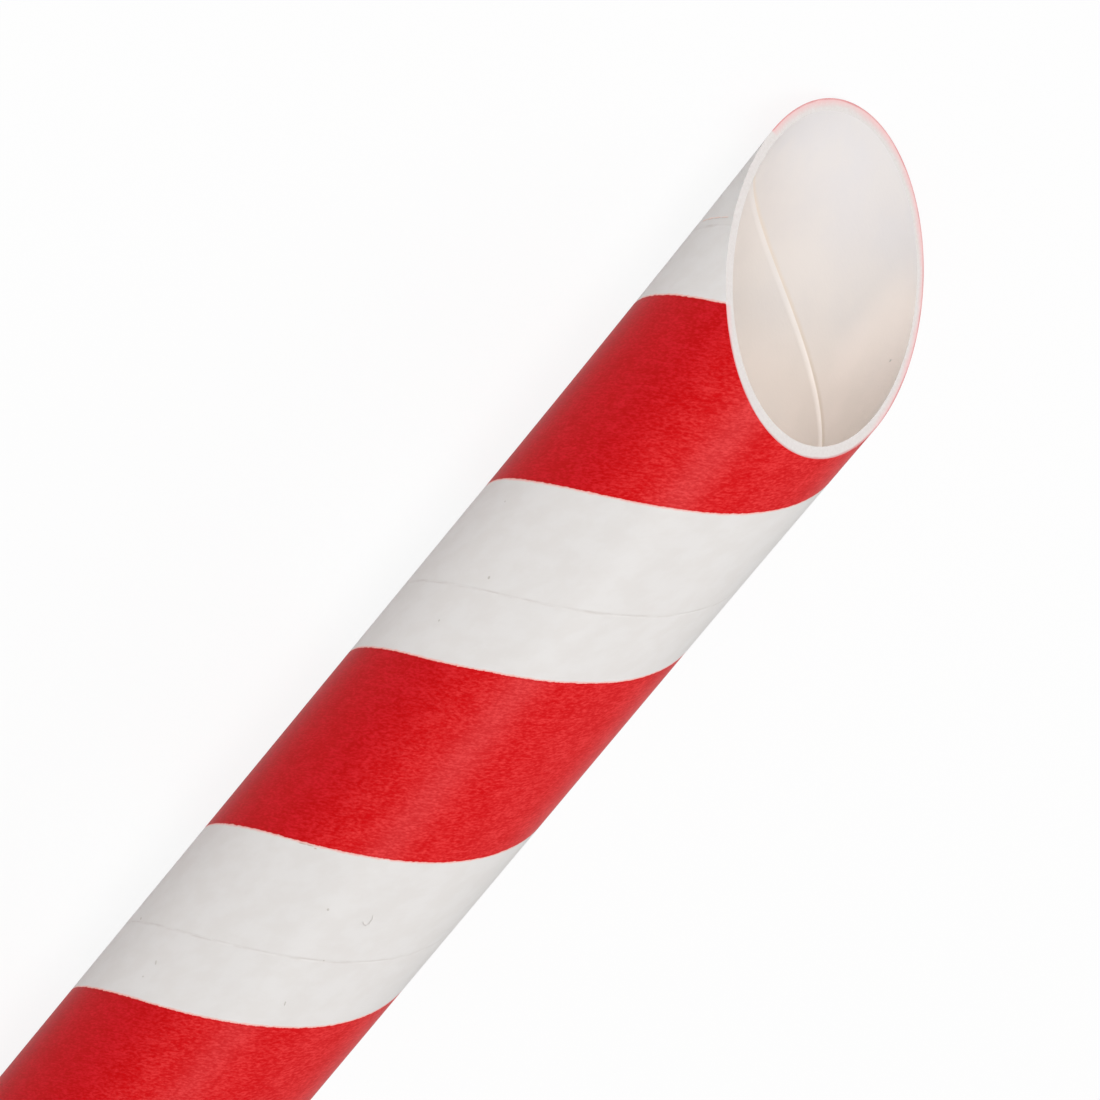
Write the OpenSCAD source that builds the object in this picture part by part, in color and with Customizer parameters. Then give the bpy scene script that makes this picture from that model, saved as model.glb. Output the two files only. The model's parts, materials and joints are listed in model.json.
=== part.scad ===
/* [Tube] */
// Outer diameter of the wound tube
outer_d = 12; // [7:0.5:14]
// Thickness of the wall, all plies glued together
wall = 0.42; // [0.34:0.02:0.8]
// Length from the square end to the point of the slanted tip
length = 210; // [120:5:260]

/* [Slanted tip] */
// Angle between the slanted cut and the straw's length
tip_angle = 44; // [35:1:75]
// How far the point has sprung outwards since the cut, on the radius
tip_spread = 0.26; // [0.06:0.02:0.4]
// Length of tube, back from the point, that has sprung open
spread_len = 24; // [15:1:40]

/* [Winding] */
// Lead of the paper strip, the way along the straw that one turn makes
lead = 21.2; // [18:0.2:30]

/* [Printed stripe] */
// Width of the red stripe, measured along the straw
stripe_w = 10.9; // [6:0.1:12]
// From the point back to the upper edge of a stripe, along the long side of the tip
stripe_back = 16.3; // [0:0.1:30]
// Height of the ink over the bare paper
ink_height = 0.03; // [0.03:0.01:0.06]

/* [Ply seams] */
// Distance from the upper edge of a stripe to the outer ply's seam, along the straw
outer_seam_from_stripe = 4.1; // [2:0.1:5.5]
// Width of the groove where the outer ply's edges meet, along the straw
outer_seam_w = 0.16; // [0.12:0.02:0.4]
// Depth of that groove
outer_seam_depth = 0.05; // [0.04:0.01:0.1]
// Distance from the upper edge of a stripe to the free edge of the inner ply's lap, along the straw
inner_lap_from_stripe = 8.8; // [1:0.1:9]
// Width of the lap as it shows in the bore, along the straw
inner_lap_w = 0.6; // [0.4:0.05:1.5]
// Height of the lap's free edge over the bore's wall
inner_lap_h = 0.05; // [0.04:0.01:0.12]

/* [Hidden] */

outer_r = outer_d / 2;
bore_r = outer_r - wall;
// The tip reaches this far back from its point at the short side of the cut
tip_reach = 2 * (outer_r + tip_spread) / tan(tip_angle);
// The tube is wound longer than the straw at both ends, and then cut to length
spare = 2;
// Rings that draw the sprung end
spread_rings = 8;
// Straight steps in one turn of a wound bar
turn_steps = 40;
// How deep a raised band is rooted in the wall, so that the two are one
root = wall / 3;
// Place of a stripe's upper edge on the long side of the tip, from the square end
stripe_top = length - stripe_back;
// The straw lies on its long side, where the inked point is the lowest place
axis_height = outer_r + tip_spread + ink_height;
paper = [0.90, 0.89, 0.88];
ink = [0.80, 0.07, 0.09];

// Radius gained by the sprung end at a distance z from the square end
function spread(z) = tip_spread * pow(max(0, z - length + spread_len) / spread_len, 2);

// Places along the straw at which the sprung wall is drawn
function rings() = [for (i = [0 : spread_rings]) length - spread_len + spread_len * i / spread_rings];

// The wall's outline in the half plane, from the bore's side round to the outer side
function wall_outline() = concat(
    [[bore_r, -spare], [outer_r, -spare]],
    [for (z = rings()) [outer_r + spread(z), z]],
    [[outer_r + spread(length + spare), length + spare], [bore_r + spread(length + spare), length + spare]],
    [for (i = [spread_rings : -1 : 0]) let (z = rings()[i]) [bore_r + spread(z), z]]);

// A bar that winds along the tube. Its section holds points as [radius, way along the straw],
// and start is where the section's zero crosses the long side of the tip. Its corners stand half a
// step to either side of the long side, so that the straw lies on a flat there and not on a corner.
module wound_bar(section, start) {
    sides = len(section);
    top = max([for (p = section) p[1]]);
    bottom = min([for (p = section) p[1]]);
    first = floor((-spare - top - start) / lead * turn_steps);
    last = ceil((length + spare - bottom - start) / lead * turn_steps);
    steps = last - first;
    points = [for (i = [first : last], p = section)
        let (turn = (i + 0.5) / turn_steps, z = start + lead * turn + p[1], r = p[0] + spread(z))
        [r * cos(360 * turn), r * sin(360 * turn), z]];
    skin = [for (i = [0 : steps - 1], k = [0 : sides - 1])
        let (a = i * sides + k, b = i * sides + (k + 1) % sides)
        each [[a, b, b + sides], [a, b + sides, a + sides]]];
    near_end = [[for (k = [sides - 1 : -1 : 0]) k]];
    far_end = [[for (k = [0 : sides - 1]) steps * sides + k]];
    polyhedron(points, concat(skin, near_end, far_end), convexity = 20);
}

// Plain wound tube, sprung open towards the tip
module wound_wall() {
    rotate_extrude($fn = 96) polygon(wall_outline());
}

// Field of red ink, a hair higher than the bare paper
module stripe() {
    wound_bar([
        [outer_r - root, 0],
        [outer_r + ink_height, 0],
        [outer_r + ink_height, stripe_w],
        [outer_r - root, stripe_w]], stripe_top - stripe_w);
}

// Groove where the outer ply's two edges meet
module outer_seam() {
    wound_bar([
        [outer_r - outer_seam_depth, 0],
        [outer_r + outer_seam_depth, -outer_seam_w],
        [outer_r + outer_seam_depth, outer_seam_w]], stripe_top + outer_seam_from_stripe);
}

// Lap of the inner ply over itself, steep at its free edge and feathered behind it
module inner_lap() {
    feather = inner_lap_w * (1 + root / inner_lap_h);
    wound_bar([
        [bore_r + root, -feather],
        [bore_r + root, 0],
        [bore_r - inner_lap_h, 0]], stripe_top + inner_lap_from_stripe);
}

// What the square cut and the slanted cut take off
module offcuts() {
    block = 6 * max(outer_d, lead);
    translate([-block / 2, -block / 2, -block]) cube(block);
    translate([-outer_r - tip_spread, 0, length - tip_reach]) rotate([0, tip_angle - 90, 0])
        translate([-block / 2, -block / 2, 0]) cube(block);
}

// The straw as it is wound and cut, standing on its square end, with its point on the +X side
module wound_straw() {
    difference() {
        union() {
            color(paper) difference() {
                wound_wall();
                outer_seam();
            }
            color(paper) inner_lap();
            color(ink) stripe();
        }
        color(paper) offcuts();
    }
}

// The straw lying down, with the long side of its tip underneath and its mouth turned up
module straw() {
    translate([-length / 2, 0, axis_height]) rotate([0, 90, 0]) wound_straw();
}

straw();
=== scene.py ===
"""A wide paper straw with a red helical stripe and a slanted tip, lying on a pale table.

The straw is made the way the real one is: a flat strip of paper with its seams is wound round the
bore by a node tree, the turns are joined, and the tube is cut square at one end and slanted at the
other. Loose fibres stand out of the cut edges, and a few specks and one short hair lie on the paper.
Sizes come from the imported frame, lengths are in metres unless a name says otherwise, and the strip's
own map is in millimetres, along the strip and across it.
"""

from __future__ import annotations

import bisect
import json
import logging
import math
from dataclasses import dataclass, field
from enum import Enum
from typing import Iterable, Optional, Sequence, Union

import bmesh
import bpy
from mathutils import Matrix, Vector

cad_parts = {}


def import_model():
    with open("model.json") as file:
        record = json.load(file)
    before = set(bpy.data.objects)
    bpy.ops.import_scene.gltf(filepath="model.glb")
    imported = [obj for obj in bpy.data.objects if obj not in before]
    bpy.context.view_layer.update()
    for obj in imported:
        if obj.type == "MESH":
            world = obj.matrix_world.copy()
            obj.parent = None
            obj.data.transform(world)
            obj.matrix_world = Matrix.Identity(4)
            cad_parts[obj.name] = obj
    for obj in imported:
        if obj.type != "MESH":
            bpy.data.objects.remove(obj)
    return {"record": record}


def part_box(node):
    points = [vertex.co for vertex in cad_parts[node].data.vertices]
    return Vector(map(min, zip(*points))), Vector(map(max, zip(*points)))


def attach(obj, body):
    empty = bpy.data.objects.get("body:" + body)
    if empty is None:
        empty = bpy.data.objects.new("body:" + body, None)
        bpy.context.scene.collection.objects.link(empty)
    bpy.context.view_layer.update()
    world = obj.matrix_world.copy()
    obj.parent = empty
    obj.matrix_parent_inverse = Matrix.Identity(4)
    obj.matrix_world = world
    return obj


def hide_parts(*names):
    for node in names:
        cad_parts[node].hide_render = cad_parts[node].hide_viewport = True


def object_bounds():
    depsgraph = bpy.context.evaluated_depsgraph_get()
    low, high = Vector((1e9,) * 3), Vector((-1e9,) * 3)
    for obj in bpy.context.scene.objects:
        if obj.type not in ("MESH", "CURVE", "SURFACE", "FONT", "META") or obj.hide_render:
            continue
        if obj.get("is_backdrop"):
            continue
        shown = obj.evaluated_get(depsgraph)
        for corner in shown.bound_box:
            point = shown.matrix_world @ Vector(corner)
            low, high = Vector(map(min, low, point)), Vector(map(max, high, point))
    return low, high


log = logging.getLogger("paper_straw")

MM = 0.001
NODE = "straw"
BODY = "root"
STRIP_MAP = "strip"
WALL_DEPTH = "wall_depth"
# Turn from the straw's length to the length of the strip, in degrees
ALONG_STRIP = -60.6

Colour = tuple[float, float, float, float]
Socket = bpy.types.NodeSocket
Link = Union[Socket, float, Sequence[float]]


class Face(Enum):
    """The three finished faces of the wall, in the order of their material slots."""

    PRINTED = 0
    BORE = 1
    CUT = 2


class Skin(Enum):
    """The two sides of the wall that are wound from a strip."""

    OUTER = "outer"
    INNER = "inner"


def srgb(red: int, green: int, blue: int) -> Colour:
    """Turns a colour as it is seen on a screen into the linear one that a shader takes.

    Args:
        red: Red from 0 to 255.
        green: Green from 0 to 255.
        blue: Blue from 0 to 255.

    Returns:
        The linear colour with full alpha.
    """

    def linear(value: int) -> float:
        """Undoes the screen's curve for one channel."""
        part = value / 255.0
        return part / 12.92 if part <= 0.04045 else ((part + 0.055) / 1.055) ** 2.4

    return (linear(red), linear(green), linear(blue), 1.0)


@dataclass(frozen=True)
class Ramp:
    """A smooth change, level before its start and past its end.

    Attributes:
        start: Value at which the change starts.
        end: Value at which it is complete.
        low: Result up to the start.
        high: Result from the end on.
    """

    start: float
    end: float
    low: float = 0.0
    high: float = 1.0


@dataclass(frozen=True)
class Grain:
    """A pattern of noise.

    Attributes:
        waves: Waves in one unit of length, along each axis.
        detail: Finer layers that are added.
        roughness: How strong the finer layers are.
    """

    waves: tuple[float, float, float]
    detail: float = 2.0
    roughness: float = 0.5


@dataclass(frozen=True)
class StrawSizes:
    """Real sizes of the straw, in metres, in the frame's axes.

    Attributes:
        outer_radius: Radius of the bare tube outside.
        bore_radius: Radius of the tube inside.
        length: Length from the square end to the point of the tip.
        axis_height: Height of the tube's axis over the table.
        tip_angle: Angle between the slanted cut and the straw's length, in radians.
        tip_spread: How far the point has sprung outwards, on the radius.
        spread_length: Length of tube back from the point that has sprung open.
        lead: Way along the straw that one turn of the strip makes.
        stripe_width: Width of the stripe along the straw.
        stripe_back: From the point back to a stripe's upper edge, on the long side.
        seam_from_stripe: From a stripe's upper edge to the outer ply's seam.
        lap_from_stripe: From a stripe's upper edge to the inner ply's free edge.
    """

    outer_radius: float
    bore_radius: float
    length: float
    axis_height: float
    tip_angle: float = math.radians(44.0)
    tip_spread: float = 0.26 * MM
    spread_length: float = 24.0 * MM
    lead: float = 21.2 * MM
    stripe_width: float = 10.9 * MM
    stripe_back: float = 16.3 * MM
    seam_from_stripe: float = 4.1 * MM
    lap_from_stripe: float = 8.8 * MM

    @classmethod
    def from_frame(cls, record: dict) -> StrawSizes:
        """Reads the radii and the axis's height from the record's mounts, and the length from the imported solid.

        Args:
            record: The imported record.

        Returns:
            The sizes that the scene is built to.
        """
        mounts = {mount["name"]: mount for mount in record["mounts"]}
        low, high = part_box(NODE)
        return cls(
            outer_radius=mounts["barrel"]["dims"]["r_mm"] * MM,
            bore_radius=mounts["bore"]["dims"]["r_mm"] * MM,
            length=high.x - low.x,
            axis_height=mounts["bore"]["pos_m"][2],
        )

    @property
    def tip_reach(self) -> float:
        """Length of the slanted cut along the straw."""
        return 2.0 * (self.outer_radius + self.tip_spread) / math.tan(self.tip_angle)

    @property
    def stripe_top(self) -> float:
        """Place of a stripe's upper edge on the long side, from the square end."""
        return self.length - self.stripe_back

    @property
    def stripe_middle(self) -> float:
        """Way across the outer strip to the middle of its stripe, along the straw."""
        return self.lead - self.seam_from_stripe - self.stripe_width / 2

    @property
    def tip_plane(self) -> tuple[Vector, Vector]:
        """A point of the slanted cut on the axis, and the cut's outward normal."""
        middle = Vector((self.length / 2 - self.tip_reach / 2, 0.0, self.axis_height))
        return middle, Vector((math.sin(self.tip_angle), 0.0, math.cos(self.tip_angle)))

    @property
    def square_plane(self) -> tuple[Vector, Vector]:
        """A point of the square cut on the axis, and the cut's outward normal."""
        return Vector((-self.length / 2, 0.0, self.axis_height)), Vector((-1.0, 0.0, 0.0))

    def on_surface(self, back: float, angle: float, height: float = 0.0, inside: bool = False) -> Vector:
        """Finds a point on or over the tube's surface.

        Args:
            back: Way back along the straw from the point of the tip.
            angle: Angle about the axis from the long side, in radians.
            height: Height over the surface.
            inside: Whether the surface is the bore's.

        Returns:
            The point in the frame.
        """
        sprung = self.tip_spread * max(0.0, 1.0 - back / self.spread_length) ** 2
        radius = self.bore_radius - height if inside else self.outer_radius + height
        radius += sprung
        return Vector((
            self.length / 2 - back,
            radius * math.sin(angle),
            self.axis_height - radius * math.cos(angle)))

    def angle_of(self, point: Vector) -> float:
        """Returns the angle of a point about the axis, from the long side of the tip."""
        return math.atan2(point.y, self.axis_height - point.z)


class Recipe:
    """Adds nodes to one tree and links them, so that a finish reads as a list of steps."""

    def __init__(self, tree: bpy.types.NodeTree) -> None:
        """Keeps the tree that the steps go into.

        Args:
            tree: A material's or a modifier's node tree.
        """
        self.tree = tree

    def node(self, kind: str, **settings: object) -> bpy.types.Node:
        """Adds a node.

        Args:
            kind: Blender's name for the node.
            **settings: Properties to set on it.

        Returns:
            The new node.
        """
        made = self.tree.nodes.new(kind)
        for name, value in settings.items():
            setattr(made, name, value)
        return made

    def feed(self, socket: Socket, value: Link) -> None:
        """Links a socket to an output, or sets its value.

        Args:
            socket: The input to feed.
            value: An output socket, a number or a vector.
        """
        if isinstance(value, Socket):
            self.tree.links.new(value, socket)
        else:
            socket.default_value = value

    def math(self, operation: str, *values: Link, clamp: bool = False) -> Socket:
        """Adds a Math node.

        Args:
            operation: The node's operation.
            *values: Its inputs in order.
            clamp: Whether the result is kept between 0 and 1.

        Returns:
            The result's socket.
        """
        made = self.node("ShaderNodeMath", operation=operation, use_clamp=clamp)
        for socket, value in zip(made.inputs, values):
            self.feed(socket, value)
        return made.outputs[0]

    def plus(self, first: Link, second: Link) -> Socket:
        """Adds two numbers, and returns the sum's socket."""
        return self.math("ADD", first, second)

    def minus(self, first: Link, second: Link) -> Socket:
        """Takes the second number from the first, and returns the rest's socket."""
        return self.math("SUBTRACT", first, second)

    def times(self, first: Link, second: Link) -> Socket:
        """Multiplies two numbers, and returns the product's socket."""
        return self.math("MULTIPLY", first, second)

    def split(self, vector: Link) -> tuple[Socket, ...]:
        """Splits a vector, and returns the sockets of its three parts."""
        made = self.node("ShaderNodeSeparateXYZ")
        self.feed(made.inputs[0], vector)
        return tuple(made.outputs)

    def ramp(self, value: Link, ramp: Ramp) -> Socket:
        """Maps a value smoothly from one range to another, clamped at both ends.

        Args:
            value: What is mapped.
            ramp: The two ranges.

        Returns:
            The result's socket.
        """
        made = self.node("ShaderNodeMapRange", interpolation_type="SMOOTHSTEP")
        for socket, number in zip(made.inputs, (value, ramp.start, ramp.end, ramp.low, ramp.high)):
            self.feed(socket, number)
        return made.outputs[0]

    def noise(self, vector: Link, grain: Grain) -> Socket:
        """Adds a noise pattern.

        Args:
            vector: Where it is read.
            grain: Its waves and layers.

        Returns:
            The pattern's socket, from 0 to 1.
        """
        stretched = self.node("ShaderNodeVectorMath", operation="MULTIPLY")
        self.feed(stretched.inputs[0], vector)
        self.feed(stretched.inputs[1], grain.waves)
        made = self.node("ShaderNodeTexNoise", noise_dimensions="3D")
        self.feed(made.inputs["Vector"], stretched.outputs[0])
        made.inputs["Scale"].default_value = 1.0
        made.inputs["Detail"].default_value = grain.detail
        made.inputs["Roughness"].default_value = grain.roughness
        return made.outputs["Fac"]

    def waver(self, vector: Link, grain: Grain, width: float) -> Socket:
        """Adds a noise pattern that wavers about zero.

        Args:
            vector: Where it is read.
            grain: Its waves and layers.
            width: The whole width that it wavers over.

        Returns:
            The pattern's socket.
        """
        return self.times(self.minus(self.noise(vector, grain), 0.5), width)

    def mix(self, share: Link, first: Link, second: Link, blend: str = "MIX") -> Socket:
        """Mixes two colours.

        Args:
            share: How much of the second colour is used.
            first: The colour at 0.
            second: The colour at 1.
            blend: How they are blended.

        Returns:
            The colour's socket.
        """
        made = self.node("ShaderNodeMix", data_type="RGBA", blend_type=blend)
        self.feed(made.inputs[0], share)
        self.feed(made.inputs[6], first)
        self.feed(made.inputs[7], second)
        return made.outputs[2]

    def bump(self, height: Link, distance: float, below: Optional[Link] = None) -> Socket:
        """Adds relief to the shading.

        Args:
            height: The relief, from 0 to 1.
            distance: Real height of the relief, in metres.
            below: A normal that this relief lies on.

        Returns:
            The normal's socket.
        """
        made = self.node("ShaderNodeBump")
        made.inputs["Strength"].default_value = 1.0
        made.inputs["Distance"].default_value = distance
        self.feed(made.inputs["Height"], height)
        if below is not None:
            self.feed(made.inputs["Normal"], below)
        return made.outputs[0]


class Finish(Recipe):
    """The recipe of a material with one Principled shader."""

    def __init__(self, name: str) -> None:
        """Starts the material.

        Args:
            name: The material's name.
        """
        self.material = bpy.data.materials.new(name)
        self.material.use_nodes = True
        super().__init__(self.material.node_tree)
        self.shader = self.tree.nodes["Principled BSDF"]

    def strip_map(self) -> Socket:
        """Reads the strip's own map, and returns its socket."""
        return self.node("ShaderNodeUVMap", uv_map=STRIP_MAP).outputs[0]

    def place(self) -> Socket:
        """Reads the place in the frame, and returns its socket."""
        return self.node("ShaderNodeTexCoord").outputs["Object"]

    def inside_stripe(self, sizes: StrawSizes, across: Link) -> Socket:
        """Measures how far a place on the outer strip lies inside the stripe.

        Args:
            sizes: The straw's sizes.
            across: The way across the strip, in millimetres.

        Returns:
            The distance from the nearer edge in millimetres, negative on bare paper.
        """
        from_middle = self.math("ABSOLUTE", self.minus(across, sizes.stripe_middle / MM))
        return self.minus(sizes.stripe_width / 2 / MM, from_middle)

    def coat(
        self, colour: Link, roughness: float, specular: float, normal: Optional[Link] = None
    ) -> bpy.types.Material:
        """Gives the shader its colour, gloss and relief.

        Args:
            colour: The colour.
            roughness: How matt the surface is.
            specular: How strongly it mirrors.
            normal: Its relief, if it has any.

        Returns:
            The finished material.
        """
        self.feed(self.shader.inputs["Base Color"], colour)
        self.shader.inputs["Roughness"].default_value = roughness
        self.shader.inputs["Specular IOR Level"].default_value = specular
        if normal is not None:
            self.feed(self.shader.inputs["Normal"], normal)
        return self.material


@dataclass(frozen=True)
class PrintedPaper:
    """Smooth white paper with one stripe of red ink along the strip, for the outer ply.

    Places on the strip and the waves of a grain are in millimetres.

    Attributes:
        sizes: The straw's sizes, which place the stripe on the strip.
        paper: Colour of the bare paper.
        paper_shade: Colour of its slightly darker clouds.
        dense_ink: Colour where the ink lies thick, in clouds and along the edges.
        thin_ink: Colour where fibres show through the ink.
        flank_painted_shade: Tint of painted shade that makes the ink darker and deeper on the flank towards +Y.
        halo: Colour of the thin bleed beside the stripe.
        seam: Colour of the hairline where the ply's edges meet.
        fibres: Pattern of the fibres, which lie along the strip.
        felt: Pattern of the finer fibres.
        clouds: Pattern of the soft clouds.
        ragged: Pattern of the ink's ragged edge.
        ragged_width: How far the ragged edge wavers.
        drift: Pattern of the slow drift of that edge.
        drift_width: How far the drift goes.
        ink_edge: Share of ink, by the way inside the stripe.
        bleed: Share of the bleed, by the way inside the stripe.
        edge_line: Share of the dense line along the edge, by the way inside the stripe.
        cloudiness: Share of the clouds' colour, by their pattern.
        felt_shade: How much the felt adds to that share.
        depths: How much fibres, felt and clouds each thin the ink.
        thinness: Share of the thin ink, by the sum of those three.
        flank: Share of that painted shade, by the way aside from the axis in metres.
        hairline: Share of the seam's line, by the way from the seam.
        broken: Pattern that breaks the seam's line up along the strip.
        breaks: Strength of the seam's line, by that pattern.
        fibre_height: Height of the fibres' relief, in metres.
        inked_relief: Share of that relief, from bare paper to ink.
        cloud_height: Height of the clouds' relief, in metres.
        roughness: How matt the paper and the ink are.
        specular: How strongly they mirror.
    """

    sizes: StrawSizes
    paper: Colour = srgb(233, 230, 228)
    paper_shade: Colour = srgb(229, 225, 222)
    dense_ink: Colour = srgb(211, 0, 8)
    thin_ink: Colour = srgb(234, 54, 55)
    flank_painted_shade: Colour = srgb(236, 130, 184)
    halo: Colour = srgb(250, 184, 176)
    seam: Colour = srgb(198, 188, 183)
    fibres: Grain = Grain((1.5, 3.6, 1.0), 4.0, 0.75)
    felt: Grain = Grain((4.6, 9.0, 1.0), 2.0, 0.6)
    clouds: Grain = Grain((0.8, 0.8, 0.8), 3.0, 0.55)
    ragged: Grain = Grain((3.4, 3.4, 1.0), 3.0, 0.7)
    ragged_width: float = 0.17
    drift: Grain = Grain((0.16, 0.1, 1.0), 1.0)
    drift_width: float = 0.22
    ink_edge: Ramp = Ramp(-0.02, 0.03)
    bleed: Ramp = Ramp(-0.13, -0.02, 0.0, 0.9)
    edge_line: Ramp = Ramp(0.14, 0.05, 0.0, 0.6)
    cloudiness: Ramp = Ramp(0.35, 0.65, 0.0, 0.7)
    felt_shade: float = 0.3
    depths: tuple[float, float, float] = (1.2, 1.5, 0.6)
    thinness: Ramp = Ramp(1.35, 2.1)
    flank: Ramp = Ramp(3.6 * MM, 5.8 * MM)
    hairline: Ramp = Ramp(0.13, 0.02)
    broken: Grain = Grain((0.6, 0.0, 1.0), 3.0)
    breaks: Ramp = Ramp(0.4, 0.65, 0.0, 0.42)
    fibre_height: float = 4.0e-6
    inked_relief: Ramp = Ramp(0.0, 1.0, 0.3, 1.0)
    cloud_height: float = 3.0e-6
    roughness: float = 0.34
    specular: float = 0.16

    def build(self) -> bpy.types.Material:
        """Makes the material and returns it."""
        finish = Finish("printed_paper")
        strip = finish.strip_map()
        across = finish.split(strip)[1]
        inside = self._inside(finish, strip, across)
        inked = finish.ramp(inside, self.ink_edge)
        fibres, felt, clouds = (finish.noise(strip, grain) for grain in (self.fibres, self.felt, self.clouds))
        bare = self._bare(finish, clouds, felt, inside)
        ink = self._ink(finish, fibres, felt, clouds, inside)
        colour = finish.mix(self._seam(finish, strip, across), finish.mix(inked, bare, ink), self.seam)
        relief = finish.plus(finish.times(fibres, 0.5), finish.times(felt, 0.5))
        relief = finish.times(relief, finish.ramp(inked, self.inked_relief))
        normal = finish.bump(relief, self.fibre_height, finish.bump(clouds, self.cloud_height))
        return finish.coat(colour, self.roughness, self.specular, normal)

    def _seam(self, finish: Finish, strip: Link, across: Link) -> Socket:
        """Finds how much the hairline where the ply's edges meet darkens a place.

        Args:
            finish: The material's recipe.
            strip: The strip's map.
            across: The way across the strip, in millimetres.

        Returns:
            The share of the hairline's colour.
        """
        nearest = finish.math("MINIMUM", across, finish.minus(self.sizes.lead / MM, across))
        strength = finish.ramp(finish.noise(strip, self.broken), self.breaks)
        return finish.times(finish.ramp(nearest, self.hairline), strength)

    def _inside(self, finish: Finish, strip: Link, across: Link) -> Socket:
        """Measures how far a place lies inside the stripe, past its slightly ragged edge.

        Args:
            finish: The material's recipe.
            strip: The strip's map.
            across: The way across the strip, in millimetres.

        Returns:
            The distance from the nearer edge in millimetres, negative on bare paper.
        """
        ragged = finish.waver(strip, self.ragged, self.ragged_width)
        drift = finish.waver(strip, self.drift, self.drift_width)
        return finish.plus(finish.inside_stripe(self.sizes, across), finish.plus(ragged, drift))

    def _bare(self, finish: Finish, clouds: Link, felt: Link, inside: Link) -> Socket:
        """Colours the bare paper, with a faint bleed of ink beside the stripe.

        Args:
            finish: The material's recipe.
            clouds: The soft pattern of the paper.
            felt: The fine pattern of its fibres.
            inside: Distance inside the stripe in millimetres.

        Returns:
            The colour's socket.
        """
        felted = finish.times(felt, self.felt_shade)
        shade = finish.math("ADD", finish.ramp(clouds, self.cloudiness), felted, clamp=True)
        paper = finish.mix(shade, self.paper, self.paper_shade)
        return finish.mix(finish.ramp(inside, self.bleed), paper, self.halo)

    def _ink(self, finish: Finish, fibres: Link, felt: Link, clouds: Link, inside: Link) -> Socket:
        """Colours the stripe: fibres showing through, denser clouds, a dense line at its edge and painted shade on the
        flank towards +Y.

        Args:
            finish: The material's recipe.
            fibres: The pattern of fibres along the strip.
            felt: The finer pattern of fibres.
            clouds: The soft pattern of the paper.
            inside: Distance inside the stripe in millimetres.

        Returns:
            The colour's socket.
        """
        by_fibres, by_felt, by_clouds = self.depths
        depth = finish.plus(finish.times(fibres, by_fibres), finish.times(felt, by_felt))
        depth = finish.plus(depth, finish.times(clouds, by_clouds))
        colour = finish.mix(finish.ramp(depth, self.thinness), self.dense_ink, self.thin_ink)
        colour = finish.mix(finish.ramp(inside, self.edge_line), colour, self.dense_ink)
        # Painted shade: the ink is darker and deeper on the flank towards +Y.
        sideways = finish.split(finish.place())[1]
        return finish.mix(finish.ramp(sideways, self.flank), colour, self.flank_painted_shade, "MULTIPLY")


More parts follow.
